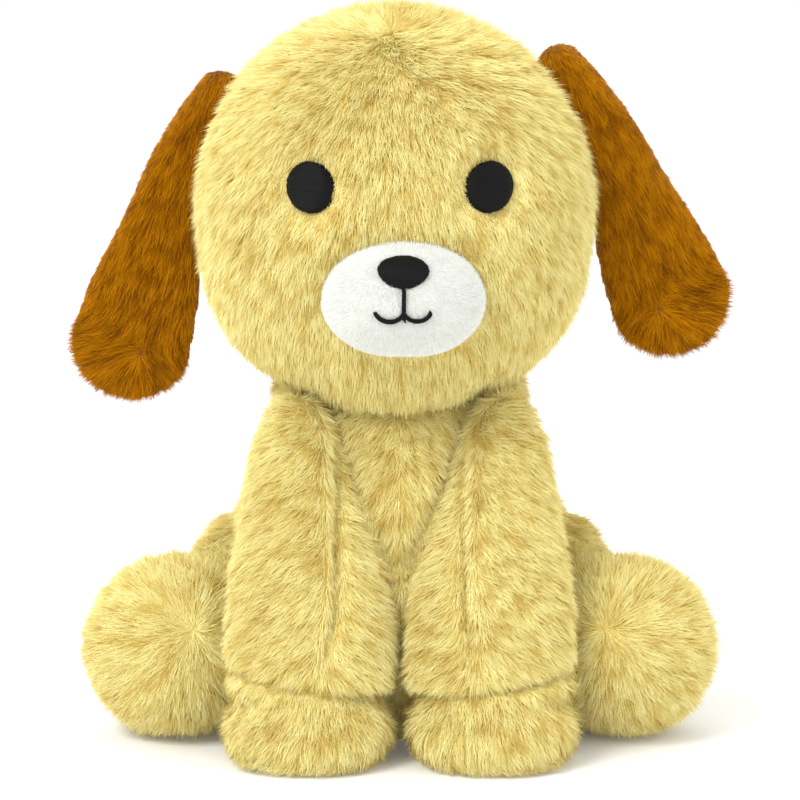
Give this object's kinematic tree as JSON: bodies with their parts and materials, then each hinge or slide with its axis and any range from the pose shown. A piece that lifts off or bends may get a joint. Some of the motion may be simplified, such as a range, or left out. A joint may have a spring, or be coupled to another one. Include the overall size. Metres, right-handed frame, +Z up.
{
  "type": "plush dog",
  "caption": "Sitting plush dog with a round head, long floppy brown ears, a white muzzle, embroidered features and soft stuffed legs that flex.",
  "frame": {"origin": "on the floor, under the middle of the sitting dog's outer box", "axes": "+Z up, the dog faces -Y, its left side is towards +X"},
  "size_m": [0.223, 0.154, 0.247],
  "materials": {
    "cream_long_plush": "long soft pile",
    "brown_long_plush": "long soft pile",
    "white_short_plush": "short velvety pile",
    "black_thread": "satin stitched thread",
    "polyester_stuffing": "loose fibre fill",
    "bag_cloth": "plain woven",
    "pellets": "matte"
  },
  "bodies": {
    "torso": {"chest_panel": "cream_long_plush", "left_side_panel": "cream_long_plush", "right_side_panel": "cream_long_plush", "base_panel": "cream_long_plush", "torso_stuffing": "polyester_stuffing", "pellet_bag": "bag_cloth", "pellet_fill": "pellets"},
    "neck": {"neck_stuffing": "polyester_stuffing"},
    "head": {"head_front_cover": "cream_long_plush", "head_back_cover": "cream_long_plush", "head_stuffing": "polyester_stuffing", "muzzle_cover": "white_short_plush", "muzzle_stuffing": "polyester_stuffing", "left_eye_embroidery": "black_thread", "right_eye_embroidery": "black_thread", "nose_embroidery": "black_thread", "mouth_embroidery": "black_thread"},
    "left_ear": {"left_ear_face_panel": "brown_long_plush", "left_ear_lining_panel": "brown_long_plush"},
    "right_ear": {"right_ear_face_panel": "brown_long_plush", "right_ear_lining_panel": "brown_long_plush"},
    "left_front_leg": {"left_front_leg_outer_panel": "cream_long_plush", "left_front_leg_inner_panel": "cream_long_plush", "left_front_paw_cover": "cream_long_plush", "left_front_paw_sole": "cream_long_plush", "left_front_leg_stuffing": "polyester_stuffing"},
    "right_front_leg": {"right_front_leg_outer_panel": "cream_long_plush", "right_front_leg_inner_panel": "cream_long_plush", "right_front_paw_cover": "cream_long_plush", "right_front_paw_sole": "cream_long_plush", "right_front_leg_stuffing": "polyester_stuffing"},
    "left_hind_leg": {"left_thigh_outer_panel": "cream_long_plush", "left_thigh_inner_panel": "cream_long_plush", "left_hind_foot_cover": "cream_long_plush", "left_hind_leg_stuffing": "polyester_stuffing"},
    "right_hind_leg": {"right_thigh_outer_panel": "cream_long_plush", "right_thigh_inner_panel": "cream_long_plush", "right_hind_foot_cover": "cream_long_plush", "right_hind_leg_stuffing": "polyester_stuffing"},
    "tail": {"tail_left_panel": "cream_long_plush", "tail_right_panel": "cream_long_plush", "tail_stuffing": "polyester_stuffing"}
  },
  "joints": [
    {"name": "neck_turn", "type": "hinge", "parent": "torso", "child": "neck", "pos_m": [0, 0, 0.1795], "axis": [0, 0, 1], "range_deg": [-30, 30], "stiffness_Nm_per_rad": 0.05},
    {"name": "head_nod", "type": "hinge", "parent": "neck", "child": "head", "pos_m": [0, 0, 0.1795], "axis": [1, 0, 0], "range_deg": [-12, 8], "stiffness_Nm_per_rad": 0.2},
    {"name": "left_ear_lift", "type": "hinge", "parent": "head", "child": "left_ear", "pos_m": [0.05159, 0, 0.232], "axis": [0, -1, 0], "range_deg": [0, 95]},
    {"name": "right_ear_lift", "type": "hinge", "parent": "head", "child": "right_ear", "pos_m": [-0.05878, 0, 0.22379], "axis": [0, 1, 0], "range_deg": [0, 95]},
    {"name": "left_front_leg_lift", "type": "hinge", "parent": "torso", "child": "left_front_leg", "pos_m": [0.0276, -0.027, 0.1], "axis": [-1, 0, 0], "range_deg": [0, 12], "stiffness_Nm_per_rad": 0.02},
    {"name": "right_front_leg_lift", "type": "hinge", "parent": "torso", "child": "right_front_leg", "pos_m": [-0.0276, -0.027, 0.1], "axis": [-1, 0, 0], "range_deg": [0, 12], "stiffness_Nm_per_rad": 0.02},
    {"name": "left_hind_leg_lift", "type": "hinge", "parent": "torso", "child": "left_hind_leg", "pos_m": [0.0386, 0.014, 0.02], "axis": [-1, 0, 0], "range_deg": [0, 20], "stiffness_Nm_per_rad": 0.02},
    {"name": "right_hind_leg_lift", "type": "hinge", "parent": "torso", "child": "right_hind_leg", "pos_m": [-0.0386, 0.014, 0.02], "axis": [-1, 0, 0], "range_deg": [0, 20], "stiffness_Nm_per_rad": 0.02},
    {"name": "tail_wag", "type": "hinge", "parent": "torso", "child": "tail", "pos_m": [0, 0.0596, 0.0365], "axis": [0, 0, 1], "range_deg": [-25, 25], "stiffness_Nm_per_rad": 0.01}
  ]
}
